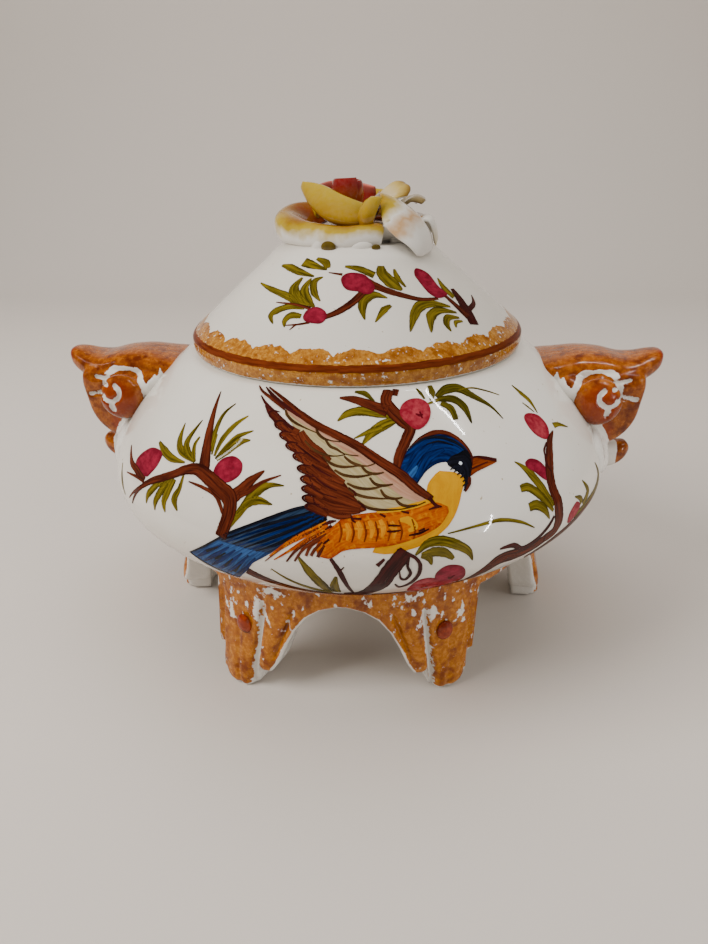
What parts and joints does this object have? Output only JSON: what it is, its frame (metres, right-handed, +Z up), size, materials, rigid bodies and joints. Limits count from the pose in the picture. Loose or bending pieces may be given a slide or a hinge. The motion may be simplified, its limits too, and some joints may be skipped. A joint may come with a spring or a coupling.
{
  "type": "lidded tureen",
  "caption": "Round glazed serving tureen with a domed lift-off lid, rose knob, two scroll handles and a ring of leaf feet.",
  "frame": {"origin": "on the table, under the centre of the bowl", "axes": "+Z up, -Y towards the painted front, +X along the handles to the right as seen from the front"},
  "size_m": [0.3252, 0.2688, 0.2416],
  "materials": {
    "white_glaze": "glossy ivory tin glaze",
    "ochre_sponge": "glossy glaze over sponged ochre",
    "handle_rust": "glossy glaze over orange brown",
    "rust_glaze": "glossy red-brown glaze",
    "rose_red": "glossy red to orange glaze",
    "rose_yellow": "glossy yellow glaze",
    "rose_white": "glossy ivory glaze with yellow edges"
  },
  "bodies": {
    "bowl": {"bowl_body": "white_glaze", "foot_ring": "ochre_sponge", "foot_front_left": "ochre_sponge", "bead_front_left": "rust_glaze", "foot_front_right": "ochre_sponge", "bead_front_right": "rust_glaze", "foot_side_right": "ochre_sponge", "bead_side_right": "rust_glaze", "foot_back_right": "ochre_sponge", "bead_back_right": "rust_glaze", "foot_back_left": "ochre_sponge", "bead_back_left": "rust_glaze", "foot_side_left": "ochre_sponge", "bead_side_left": "rust_glaze", "handle_left_bar": "handle_rust", "handle_left_scroll": "handle_rust", "handle_left_nub": "handle_rust", "handle_left_root": "white_glaze", "handle_right_bar": "handle_rust", "handle_right_scroll": "handle_rust", "handle_right_nub": "handle_rust", "handle_right_root": "white_glaze"},
    "lid": {"lid": "white_glaze", "lid_ring": "white_glaze", "rose_base": "white_glaze", "rose_bud": "rose_red", "petal_inner_1": "rose_red", "petal_inner_2": "rose_red", "petal_inner_3": "rose_red", "petal_middle_1": "rose_yellow", "petal_middle_2": "rose_yellow", "petal_middle_3": "rose_yellow", "petal_middle_4": "rose_yellow", "petal_outer_1": "rose_white", "petal_outer_2": "rose_white", "petal_outer_3": "rose_white", "petal_outer_4": "rose_white", "petal_outer_5": "rose_white", "petal_outer_6": "rose_white"}
  },
  "joints": [
    {"name": "lid_lift", "type": "slide", "parent": "bowl", "child": "lid", "axis": [0, 0, 1], "range_m": [0, 0.1]}
  ]
}
